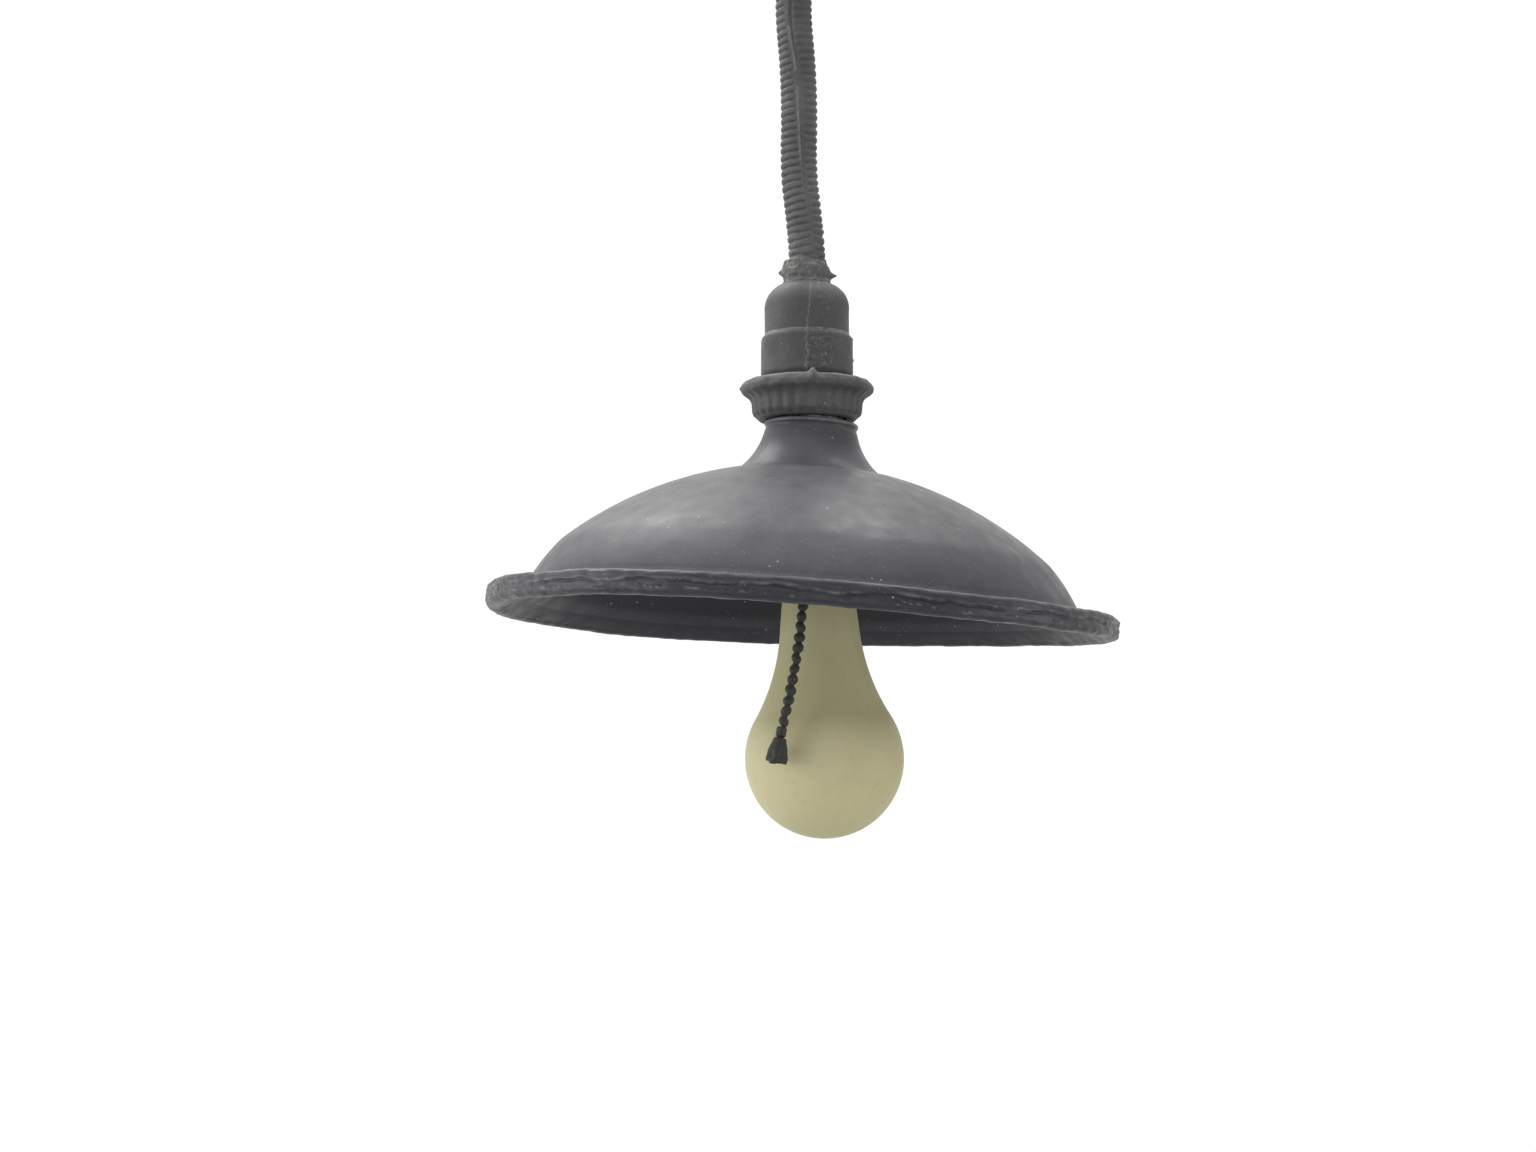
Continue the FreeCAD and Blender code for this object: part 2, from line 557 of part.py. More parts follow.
def chain():
    pitch, bead, link = D.bead_pitch, D.bead_r, 0.55
    body = doc.addObject("PartDesign::Body", "pull_chain")
    sketch = sketch_on(body, "XZ_Plane", "bead_outline")
    draw(sketch, [
        (0, 0.05), (0, -pitch), (link, -pitch), (link, -bead * 2 + 0.05), (link, -0.05, bead), (link, 0.05)])
    doc.recompute()
    one = body.newObject("PartDesign::Revolution", "bead")
    one.Profile = sketch
    one.ReferenceAxis = (sketch, ["V_Axis"])
    doc.recompute()
    row = body.newObject("PartDesign::LinearPattern", "beads")
    row.Originals = [one]
    row.Direction = (sketch, ["V_Axis"])
    row.Reversed = True
    row.setExpression("Length", (pitch * (D.bead_count - 1)).text)
    row.setExpression("Occurrences", D.bead_count.text)
    body.Tip = row
    doc.recompute()
    keep(body, "pull_chain", along_chain)
    end = pitch * D.bead_count
    turned("chain_coupling", [
        (0, -end - 0.05), (1.5, -end - 0.05), (1.9, -end - 0.6), (1.9, -end - 3.2), (1.2, -end - 3.8),
        (0, -end - 3.8)], along_chain)
    turned("pull_bell", [
        (0, -end - 3.9), (1.8, -end - 3.9), (2.3, -end - 5, -1.6), (3.6, -end - 12, -26), (3.2, -end - 13, -1.2),
        (2.2, -end - 12.2), (0, -end - 9.4)], along_chain)


def chain_guide():
    """The bell mouth beside the skirt that the chain runs through, with its bracket to the skirt."""
    drop = 10.5
    bell = turned("guide_bell", [
        (2.7, -drop), (3.9, -drop), (3.9, -drop - 3), (5.2, -drop - 5.4, -5), (4.6, -drop - 5.8, -0.5),
        (2.7, -drop - 3, 4.4)], listed=False)
    along_chain(bell)
    bore = group("guide_way", rod("guide_way_bar", 2.7, 12, 0, 0, -22))
    along_chain(bore)
    bracket = block("guide_bracket", 4, 4, 2.6, D.chain_top_x - 1.8, -18.2, -D.chain_top - drop - 0.3)
    keep(cut("chain_guide", fuse("guide_solid", bell, bracket), bore), "chain_guide")


# ---- bulb ----

def bulb():
    end, wall, glass, neck = D.bulb_end, D.glass_wall, D.bulb_r, D.bulb_neck_r
    flare_r, flare, sphere = D.bulb_flare_r, -D.bulb_end + D.bulb_flare_up, -D.bulb_end + D.sphere_tall
    waist = Size(math.sqrt(glass.number ** 2 - (D.sphere_tall - glass).number ** 2))
    turned("bulb_glass", [
        (0, -end), (waist, sphere, glass), (flare_r, flare, -77), (neck, -D.base_end - 0.1),
        (neck - wall, -D.base_end - 0.1), (flare_r - wall, flare), (waist - wall * 0.85, sphere - 0.5, wall + 77),
        (0, -end + wall, wall - glass)], in_core)
    base = D.base_r
    turned("bulb_base", [
        (base - 0.5, -D.base_end), (base + 0.3, -D.base_end), (base, -D.base_end + 2), (base, -289),
        (10.6, -286.4), (10.2, -286.8), (base - 0.5, -289.4)], in_core)
    turned("bulb_insulator", [(4.9, -283.8), (10.1, -286.7), (6, -290), (4.9, -290)], in_core)
    turned("bulb_contact", [
        (0, -D.contact_drop), (0, -286), (4.7, -286), (4.7, -283.5), (3.4, -282), (1.6, -D.contact_drop, 3)],
        in_core)
    turned("bulb_stem", [
        (0, -332), (1.6, -332), (3.2, -320), (4, -312), (11.4, -308.9, 8), (11.4, -308.3), (0, -308.3)], in_core)
    leads = []
    for side in (-1, 1):
        leads.append(rod(f"bulb_lead{side + 1}", 0.45, 27, 5.4 * side, 0, -344))
        foot = rod(f"bulb_lead_foot{side + 1}", 0.45, 1.6, 3.8 * side, 0, -317.4, X * side)
        leads[-1] = fuse(f"bulb_lead_bent{side + 1}", leads[-1], foot)
    keep(group("bulb_leads", *leads), "bulb_leads", in_core)
    coil = rod("bulb_filament_coil", 0.7, 12, -6, 0, -344.8, X)
    keep(group("bulb_filament", coil), "bulb_filament", in_core)


# ---- shade and what clamps it ----

def shade():
    wall, top, roll = D.shade_wall, D.neck_top, D.roll_r
    rim_z, rim_mid, dome = -D.rim_drop, D.rim_r - D.roll_r, D.dome_r

    def on_dome(radius, inner=0):
        reach = D.dome_r.number - inner
        return -D.dome_centre + math.sqrt(reach ** 2 - radius ** 2)

    turned("shade", [
        (D.lip_bore, -top), (D.neck_r, -top), (D.neck_r + 0.7, -top - 1.3, -0.9), (17.6, -top - 3.6),
        (27, -264, 27), (34, on_dome(34), 9), (92, on_dome(92), -dome), (102.6, -311.2, -70),
        (106, rim_z + roll, 4), (rim_mid, rim_z + roll), (rim_mid, rim_z - roll, -(roll + 0.001)),
        (rim_mid - roll + 0.2, rim_z - 0.6, -roll), (105.4, rim_z + roll - wall), (101, -311.2, -4.4),
        (91, on_dome(91, 1.4), 69), (34, on_dome(34, 1.4), dome - wall), (25.9, -265.3, -10),
        (16.2, -top - 3.6, -28), (16.2, -top - wall), (D.lip_bore, -top - wall)], on_shade)


def clamp():
    tube("seat_washer", 14.6, D.core_r + 0.3, 247.8, 248.7, in_core)
    turned("retaining_ring", [
        (D.core_r + 0.3, -254), (15.4, -254), (15.4, -252), (14, -248.9), (D.core_r + 0.3, -248.9)], in_core)


crossbar()
canopy_fasteners()
canopy()
hanger()
swivel()
fork()
cord()
cover()
collar()
terminals()
core_tube()
lamp_socket()
switch()
chain()
chain_guide()
bulb()
shade()
clamp()

doc.recompute()
for thing in doc.Objects:
    if "Invalid" in thing.State or "Error" in thing.State:
        raise SystemExit(f"{thing.Label} failed: {thing.State}")
os.makedirs("parts", exist_ok=True)
for part in PARTS:
    if part.Shape.isNull() or not part.Shape.isValid():
        raise SystemExit(f"{part.Label} has no valid shape")
    part.Shape.exportStep(f"parts/{part.Label}.step")
print(len(PARTS), "sub-parts written")
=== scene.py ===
"""Looks for the pull-chain pendant light: a dusty, dark rubber-like lamp with a matt ivory bulb.

Lengths are in millimetres until a mesh is made. Angles go round the lamp from its near side to the right."""

import math

import bmesh
import bpy
import numpy as np
from mathutils import Matrix, Vector, noise


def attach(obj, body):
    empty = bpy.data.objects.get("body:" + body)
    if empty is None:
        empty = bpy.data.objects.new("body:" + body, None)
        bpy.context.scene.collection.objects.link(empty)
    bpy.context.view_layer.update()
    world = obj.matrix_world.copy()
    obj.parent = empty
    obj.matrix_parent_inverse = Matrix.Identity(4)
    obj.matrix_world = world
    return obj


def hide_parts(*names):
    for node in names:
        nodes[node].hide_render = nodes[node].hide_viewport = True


MM = 0.001
LAMP_X = 3.5  # the lamp's plumb axis
CORE_TOP = -191.8  # where the leaning core turns
SHADE_HINGE = (4.2, 0, -262.8)

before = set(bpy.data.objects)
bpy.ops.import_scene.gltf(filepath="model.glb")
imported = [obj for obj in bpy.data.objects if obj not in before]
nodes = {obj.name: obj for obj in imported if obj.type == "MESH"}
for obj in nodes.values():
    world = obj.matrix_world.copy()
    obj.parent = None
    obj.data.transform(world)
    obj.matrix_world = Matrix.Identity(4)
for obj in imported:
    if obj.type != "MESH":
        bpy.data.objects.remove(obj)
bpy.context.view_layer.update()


# ---- camera, light and floor ----

def make_camera():
    data = bpy.data.cameras.new("camera")
    data.lens = 53.13
    data.sensor_width = 36
    camera = bpy.data.objects.new("camera", data)
    camera.location = (-0.0113, -0.85, -0.378)
    camera.rotation_euler = (math.radians(90 + 5.04), 0, 0)
    bpy.context.scene.collection.objects.link(camera)
    bpy.context.scene.camera = camera


def make_area_light(name, place, energy, size):
    data = bpy.data.lights.new(name, "AREA")
    data.energy = energy
    data.size = size
    light = bpy.data.objects.new(name, data)
    light.location = place
    way = Vector((0.004, 0, -0.3)) - Vector(place)
    light.rotation_euler = way.to_track_quat("-Z", "Y").to_euler()
    bpy.context.scene.collection.objects.link(light)


def make_world():
    """A white studio: brightest behind and above the lamp, softer on the side it is seen from."""
    world = bpy.data.worlds.new("studio")
    bpy.context.scene.world = world
    world.use_nodes = True
    tree = world.node_tree
    coords = tree.nodes.new("ShaderNodeTexCoord")
    split = tree.nodes.new("ShaderNodeSeparateXYZ")
    tree.links.new(coords.outputs["Generated"], split.inputs[0])
    depth = tree.nodes.new("ShaderNodeMapRange")
    for socket, number in (("From Min", -0.7), ("From Max", 0.6), ("To Min", 0.62), ("To Max", 1.06)):
        depth.inputs[socket].default_value = number
    tree.links.new(split.outputs["Y"], depth.inputs["Value"])
    low = tree.nodes.new("ShaderNodeMapRange")
    for socket, number in (("From Min", -0.85), ("From Max", -0.2), ("To Min", 0.3), ("To Max", 1)):
        low.inputs[socket].default_value = number
    tree.links.new(split.outputs["Z"], low.inputs["Value"])
    both = tree.nodes.new("ShaderNodeMath")
    both.operation = "MULTIPLY"
    tree.links.new(depth.outputs[0], both.inputs[0])
    tree.links.new(low.outputs[0], both.inputs[1])
    across = tree.nodes.new("ShaderNodeMapRange")
    for socket, number in (("From Min", 0.25), ("From Max", 0.9), ("To Min", 1), ("To Max", 0.5)):
        across.inputs[socket].default_value = number
    tree.links.new(split.outputs["X"], across.inputs["Value"])
    shaded = tree.nodes.new("ShaderNodeMath")
    shaded.operation = "MULTIPLY"
    tree.links.new(both.outputs[0], shaded.inputs[0])
    tree.links.new(across.outputs[0], shaded.inputs[1])
    tree.links.new(shaded.outputs[0], tree.nodes["Background"].inputs["Strength"])
    tree.nodes["Background"].inputs["Color"].default_value = (1, 1, 0.995, 1)


def make_floor():
    mesh = bpy.data.meshes.new("floor")
    half, drop = 2.2, -1.9
    corners = [(-half, -half, drop), (half, -half, drop), (half, half, drop), (-half, half, drop)]
    mesh.from_pydata(corners, [], [(0, 1, 2, 3)])
    floor = bpy.data.objects.new("floor", mesh)
    bpy.context.scene.collection.objects.link(floor)
    look = Look("floor_pale", 0.8)
    look.colour(look.mix(look.noise(3), (0.5, 0.5, 0.495), (0.54, 0.54, 0.535)))
    dress(floor, look.material)


# ---- materials ----

class Look:
    """A material being made: its shader, and short ways to add the nodes that feed it."""

    def __init__(self, name, roughness, metallic=0.0, specular=0.5):
        self.material = bpy.data.materials.new(name)
        self.material.use_nodes = True
        self.tree = self.material.node_tree
        self.shader = self.tree.nodes["Principled BSDF"]
        self.shader.inputs["Roughness"].default_value = roughness
        self.shader.inputs["Metallic"].default_value = metallic
        self.shader.inputs["Specular IOR Level"].default_value = specular
        self.coords = self.tree.nodes.new("ShaderNodeTexCoord").outputs["Object"]

    def feed(self, socket, value):
        if isinstance(value, bpy.types.NodeSocket):
            self.tree.links.new(value, socket)
        elif isinstance(value, tuple):
            socket.default_value = (*value, 1)
        else:
            socket.default_value = value

    def noise(self, scale, detail=3.0, stretch=None):
        node = self.tree.nodes.new("ShaderNodeTexNoise")
        node.inputs["Scale"].default_value = scale
        node.inputs["Detail"].default_value = detail
        coords = self.coords
        if stretch:
            mapping = self.tree.nodes.new("ShaderNodeMapping")
            mapping.inputs["Scale"].default_value = stretch
            self.tree.links.new(coords, mapping.inputs["Vector"])
            coords = mapping.outputs[0]
        self.tree.links.new(coords, node.inputs["Vector"])
        return node.outputs[0]

    def cells(self, scale):
        node = self.tree.nodes.new("ShaderNodeTexVoronoi")
        node.inputs["Scale"].default_value = scale
        self.tree.links.new(self.coords, node.inputs["Vector"])
        return node.outputs["Distance"]

    def span(self, value, low, high, start=0.0, end=1.0):
        """start where value is low or less, end where it is high or more."""
        node = self.tree.nodes.new("ShaderNodeMapRange")
        for socket, number in (("Value", value), ("From Min", low), ("From Max", high), ("To Min", start),
                               ("To Max", end)):
            self.feed(node.inputs[socket], number)
        return node.outputs[0]

    def times(self, first, second):
        node = self.tree.nodes.new("ShaderNodeMath")
        node.operation = "MULTIPLY"
        self.feed(node.inputs[0], first)
        self.feed(node.inputs[1], second)
        return node.outputs[0]

    def mix(self, share, first, second):
        node = self.tree.nodes.new("ShaderNodeMix")
        node.data_type = "RGBA"
        self.feed(node.inputs[0], share)
        self.feed(node.inputs[6], first)
        self.feed(node.inputs[7], second)
        return node.outputs[2]

    def upward(self):
        """How far the surface faces up, from -1 to 1."""
        geometry = self.tree.nodes.new("ShaderNodeNewGeometry")
        split = self.tree.nodes.new("ShaderNodeSeparateXYZ")
        self.tree.links.new(geometry.outputs["Normal"], split.inputs[0])
        return split.outputs["Z"]

    def painted(self, name):
        """A value that the mesh carries, such as its marks of wear and painted highlight, or its painted shade.
        """
        node = self.tree.nodes.new("ShaderNodeAttribute")
        node.attribute_name = name
        return node.outputs["Fac"]

    def colour(self, value):
        self.feed(self.shader.inputs["Base Color"], value)

    def gloss(self, value):
        self.feed(self.shader.inputs["Roughness"], value)

    def bump(self, *heights):
        """heights are (value, depth in mm) pairs, the coarsest first."""
        normal = None
        for value, depth in heights:
            node = self.tree.nodes.new("ShaderNodeBump")
            node.inputs["Strength"].default_value = 1
            node.inputs["Distance"].default_value = depth * MM
            self.tree.links.new(value, node.inputs["Height"])
            if normal:
                self.tree.links.new(normal, node.inputs["Normal"])
            normal = node.outputs[0]
        self.tree.links.new(normal, self.shader.inputs["Normal"])


def cast_rubber(name, dark, light, dust=0.5, specks=0.5, grain=0.05, gloss=(0.5, 0.68)):
    """Cast rubber: a cloudy tone, dust on what faces up, pale specks, pale marks of real wear and of painted
    highlight along edges, and near-black painted shade in hollows and cracks.
    """
    look = Look(name, 0.6, specular=0.5)
    tone = look.mix(look.span(look.noise(45, 4), 0.35, 0.65), dark, light)
    tone = look.mix(look.span(look.noise(700, 2), 0.4, 0.75, 0, 0.35), tone, tuple(0.62 * c for c in dark))
    film = look.times(look.span(look.upward(), 0.1, 0.98), look.span(look.noise(110, 5), 0.3, 0.7, 0.5, 1))
    tone = look.mix(look.times(film, dust), tone, (0.2, 0.203, 0.2))
    # painted shade: where the mesh carries its dark value (inside the shade, along its near rim band, over the
    # rim's top and in its cracks) the tone goes to a bluish near-black
    tone = look.mix(look.painted("dark"), tone, (0.017, 0.018, 0.026))
    dots = look.times(look.span(look.cells(190), 0.05, 0.075, 1, 0), look.span(look.noise(35, 2), 0.46, 0.56))
    tone = look.mix(look.times(dots, specks), tone, (0.42, 0.42, 0.38))
    motes = look.times(look.span(look.cells(520), 0.07, 0.12, 1, 0), look.span(look.noise(70, 2), 0.44, 0.6))
    tone = look.mix(look.times(motes, specks * 0.8), tone, (0.34, 0.34, 0.31))
    # pale marks where the mesh carries its wear value: real wear and flecks, and also painted highlights along
    # lit edges and ridges
    wear_and_highlight_share = look.times(look.painted("wear_and_highlight"), look.span(look.noise(420, 3), 0.3, 0.62, 0.35, 1))
    look.colour(look.mix(wear_and_highlight_share, tone, (0.27, 0.275, 0.26)))
    look.gloss(look.span(look.noise(130, 3), 0.3, 0.7, *gloss))
    look.bump((look.noise(160, 4), grain * 4), (look.noise(1100, 2), grain))
    return look.material


def ivory():
    """The matt bulb: ivory with slow olive clouds and a very fine tooth."""
    look = Look("ivory_matt", 0.5, specular=0.35)
    tone = look.mix(look.span(look.noise(22, 3), 0.35, 0.65), (0.63, 0.58, 0.33), (0.7, 0.65, 0.385))
    tone = look.mix(look.span(look.noise(260, 4), 0.55, 0.8, 0, 0.3), tone, (0.5, 0.45, 0.26))
    look.colour(tone)
    look.gloss(look.span(look.noise(60, 3), 0.3, 0.7, 0.44, 0.56))
    look.bump((look.noise(120, 3), 0.12), (look.noise(1400, 2), 0.02))
    return look.material


def metal(name, tone, dull, roughness=0.35, grain=0.02, stretch=None):
    """Bare or plated metal with faint working marks and a duller film in patches."""
    look = Look(name, roughness, metallic=1)
    film = look.span(look.noise(90, 5), 0.35, 0.75)
    look.colour(look.mix(film, tone, dull))
    look.gloss(look.span(look.noise(240, 4, stretch), 0.3, 0.7, roughness * 0.8, roughness * 1.3))
    look.bump((look.noise(900, 3, stretch), grain))
    return look.material


def moulded(name, tone, shade, roughness=0.5, grain=0.03, specular=0.5):
    """Moulded plastic, board, glaze or paint: two near tones, a soft haze in the gloss and a fine texture."""
    look = Look(name, roughness, specular=specular)
    tint = look.mix(look.span(look.noise(70, 4), 0.35, 0.7), tone, shade)
    look.colour(look.mix(look.span(look.noise(800, 2), 0.5, 0.8, 0, 0.25), tint, tuple(0.7 * c for c in shade)))
    look.gloss(look.span(look.noise(150, 3), 0.3, 0.7, roughness * 0.85, min(1, roughness * 1.2)))
    look.bump((look.noise(180, 3), grain * 3), (look.noise(1000, 2), grain))
    return look.material


def clear_glass():
    look = Look("clear_glass", 0.06)
    look.shader.inputs["Transmission Weight"].default_value = 1
    look.colour(look.mix(look.noise(50), (0.93, 0.95, 0.94), (0.97, 0.98, 0.97)))
    look.bump((look.noise(300, 2), 0.02))
    return look.material


def dress(piece, material):
    piece.data.materials.clear()
    piece.data.materials.append(material)


# ---- shapes ----

def follow(corners, step):
    """The points of a closed outline of (across, up) corners. A third number is the radius of the arc that
    reaches the corner, with its centre to the left of the way, or to the right below 0."""
    points = []
    for here, there in zip(corners, corners[1:] + corners[:1]):
        start, end = np.array(here[:2], float), np.array(there[:2], float)
        half = (end - start) / 2
        reach = np.linalg.norm(half)
        share = np.arange(max(1, round(2 * reach / step)))[:, None] / max(1, round(2 * reach / step))
        if len(there) == 2:
            points.append(start + (end - start) * share)
            continue
        radius = there[2]
        left = np.array((-half[1], half[0])) / reach
        centre = start + half + left * math.copysign(math.sqrt(max(radius ** 2 - reach ** 2, 0)), radius)
        sweep = math.copysign(2 * math.asin(min(1, reach / abs(radius))), radius)
        angle = math.atan2(*(start - centre)[::-1]) + sweep * share[:, 0]
        points.append(centre + abs(radius) * np.stack([np.cos(angle), np.sin(angle)], 1))
    return np.concatenate(points)


def lumps(points, size, seed=0.0):
    """Smooth noise from -1 to 1 at each point, in lumps about size across."""
    flat = points.reshape(-1, 3) / size + seed
    return np.array([noise.noise(p) for p in flat]).reshape(points.shape[:-1])


def rise(value):
    """A smooth step: 0 well below 0, and 1 well above it."""
    return 1 / (1 + np.exp(-np.clip(value, -30, 30)))


def hump(value, centre, width):
    """1 at the centre, falling smoothly to nothing about two widths away."""
    return np.exp(-(((value - centre) / width) ** 2))


def rings(outline, columns):
    """Radius, height and angle of every point of a turned shape, as rows by columns."""
    angle = np.arange(columns) * 2 * math.pi / columns
    angle = np.where(angle > math.pi, angle - 2 * math.pi, angle)
    across, up = np.broadcast_arrays(outline[:, :1], outline[:, 1:])
    shape = (len(outline), columns)
    radius, height = (np.broadcast_to(values, shape).copy() for values in (across, up))
    return radius, height, np.broadcast_to(angle, shape)


def around(radius, height, angle, x=0.0):
    return np.stack([radius * np.sin(angle) + x, -radius * np.cos(angle), height], -1)


def carry(mesh, name, values):
    """Give the mesh a value at each point, from 0 to 1, for its material to read."""
    mesh.attributes.new(name, "FLOAT", "POINT").data.foreach_set("value", np.clip(values, 0, 1).ravel())


def make_piece(name, points, body, material, stands_for, closed=True, wear_and_highlight=None, dark=None):
    """A smooth mesh from rows of rings; closed joins the last row to the first, else the ends are capped."""
    rows, columns = points.shape[:2]
    first = np.arange(rows if closed else rows - 1)[:, None] * columns
    second = (first + columns) % (rows * columns)
    here = np.arange(columns)[None]
    beside = (here + 1) % columns
    quads = np.stack([first + here, first + beside, second + beside, second + here], -1).reshape(-1, 4).tolist()
    if not closed:
        quads.append(list(range(columns))[::-1])
        quads.append(list(range((rows - 1) * columns, rows * columns)))
    mesh = bpy.data.meshes.new(name)
    mesh.from_pydata((points.reshape(-1, 3) * MM).tolist(), [], quads)
    nothing = np.zeros((rows, columns))
    carry(mesh, "wear_and_highlight", nothing if wear_and_highlight is None else wear_and_highlight + nothing)
    carry(mesh, "dark", nothing if dark is None else dark + nothing)
    tidy = bmesh.new()
    tidy.from_mesh(mesh)
    bmesh.ops.remove_doubles(tidy, verts=tidy.verts, dist=1e-6)
    bmesh.ops.recalc_face_normals(tidy, faces=tidy.faces)
    tidy.to_mesh(mesh)
    tidy.free()
    mesh.polygons.foreach_set("use_smooth", [True] * len(mesh.polygons))
    piece = bpy.data.objects.new(name, mesh)
    bpy.context.scene.collection.objects.link(piece)
    dress(piece, material)
    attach(piece, body)
    if stands_for:
        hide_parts(stands_for)
    return piece


def turned_by(points, angle_deg, about):
    """Points turned about +Y through a point."""
    turn = np.array(Matrix.Rotation(math.radians(angle_deg), 3, "Y"))
    return (points - np.array(about)) @ turn.T + np.array(about)


def in_core(points):
    return turned_by(points, -2, (0, 0, CORE_TOP)) + np.array((LAMP_X, 0, 0))


# ---- cord ----

CORD_ROUTE = [
    (3.7, 0, -190), (3.75, 0, -181), (2.6, 0.2, -167), (0.3, 0.2, -148), (0.75, -0.2, -124), (0.1, -0.1, -105),
    (-1.9, 0.2, -84), (0, 0, -66), (0, 0, -51.8),
]
CORD_R = 7
RIB_PITCH = 2.85


def cord_line(step):
    """Points a step apart along the route's smooth line, from the lamp up, and how far along each one is."""
    data = bpy.data.curves.new("cord_route", "CURVE")
    data.dimensions = "3D"
    data.resolution_u = 24
    spline = data.splines.new("NURBS")
    spline.points.add(len(CORD_ROUTE) - 1)
    for point, place in zip(spline.points, CORD_ROUTE):
        point.co = (*(Vector(place) * MM), 1)
    spline.order_u = 3
    spline.use_endpoint_u = True
    route = bpy.data.objects.new("cord_route", data)
    bare = bpy.data.meshes.new_from_object(route)
    line = np.array([v.co for v in bare.vertices]) / MM
    bpy.data.objects.remove(route)
    bpy.data.meshes.remove(bare)
    along = np.concatenate([[0], np.cumsum(np.linalg.norm(np.diff(line, axis=0), axis=1))])
    stops = np.linspace(0, along[-1], round(along[-1] / step) + 1)
    return np.stack([np.interp(stops, along, line[:, k]) for k in range(3)], 1), stops


def make_sleeve(material):
    """The ribbed sleeve: two mould halves whose ribs don't quite meet at a flat, wandering seam band."""
    line, stops = cord_line(0.3)
    columns = 96
    angle = np.arange(columns) * 2 * math.pi / columns
    angle = np.where(angle > math.pi, angle - 2 * math.pi, angle)[None]
    height = line[:, 2:]
    drop = -height[:, 0]
    seam_mm = np.interp(drop, [66, 80, 98, 104, 114, 127, 139, 158, 165, 183],
                        [-2.4, -1.9, -1.75, -1.0, -0.3, 0.1, 0.9, 1.8, 2.1, 2.6])[:, None]
    band = np.interp(drop, [80, 100, 112, 124, 140, 160, 185], [1.75, 1.45, 1.9, 1.6, 1.1, 0.8, 0.7])[:, None]
    band = band + 0.22 * np.array([noise.noise((0.3, 4.1, d / 2.6)) for d in drop])[:, None]
    side = CORD_R * np.sin(angle)
    front = np.cos(angle) > 0
    off = np.where(front, side - seam_mm, side + 0.5 * seam_mm)
    right = rise(off * 2.5)
    rest = around(np.full((len(line), columns), float(CORD_R)), np.repeat(height, columns, 1), angle)
    crumple = np.interp(drop, [162, 172, 182], [0, 0.7, 1])[:, None]
    shift = 0.32 * (1 - right) + 0.07 * lumps(rest, 9, 3) + crumple * 0.4 * lumps(rest, 5, 8)
    phase = (stops[:, None] - 0.05 * side) / RIB_PITCH + shift
    gap = phase - np.round(phase)
    width = 0.15 + 0.05 * right + 0.03 * lumps(rest, 4, 5)
    depth = (0.8 - 0.14 * right) * (1 + 0.5 * lumps(rest, 3, 11)) * (1 - 0.35 * crumple)
    flat = rise((np.abs(off) - np.where(front, band, 0.6)) * 7)
    valley = 0.5 - np.abs(gap)
    radius = CORD_R - flat * (0.8 * gap ** 2 + depth * hump(valley, 0, width)) - (1 - flat) * 0.12
    groove = np.interp(drop, [66, 96, 104, 110, 128, 136, 156, 170],
                       [1.1, 0.95, 0.5, 0, 0, 0.6, 0.6, 0.1])[:, None]
    mark = np.interp(drop, [66, 92, 106, 140, 165], [0.75, 0.45, 0.35, 0.2, 0.1])[:, None]
    ridge = np.interp(drop, [90, 98, 106, 112, 124, 140, 150], [0, 0.3, 0.28, 0.02, 0.25, 0.22, 0])[:, None]
    radius = radius - front * groove * hump(off, mark, 0.42) + front * ridge * hump(off, mark - 0.8, 0.24)
    radius = radius + 0.1 * lumps(rest, 1.6, 2) + crumple * 0.35 * lumps(rest, 2.4, 6)
    across = np.array((1.0, 0, 0))
    way = np.gradient(line, axis=0)
    way /= np.linalg.norm(way, axis=1)[:, None]
    right_way = across - way * (way @ across)[:, None]
    right_way /= np.linalg.norm(right_way, axis=1)[:, None]
    near_way = np.cross(right_way, way)
    near_way *= -np.sign(near_way[:, 1:2])
    turn = np.sin(angle)[..., None] * right_way[:, None] + np.cos(angle)[..., None] * near_way[:, None]
    points = line[:, None] + radius[..., None] * turn
    wear_and_highlight = (0.9 * front * (ridge > 0.1) * hump(off, mark - 0.8, 0.3)
            + 0.35 * np.clip(lumps(rest, 2.2, 31) - 0.25, 0, 1))
    sleeve = make_piece("ribbed_sleeve", points, "pendant", material, "cord_sleeve",
                        False, wear_and_highlight)
    return sleeve


# ---- cover ----

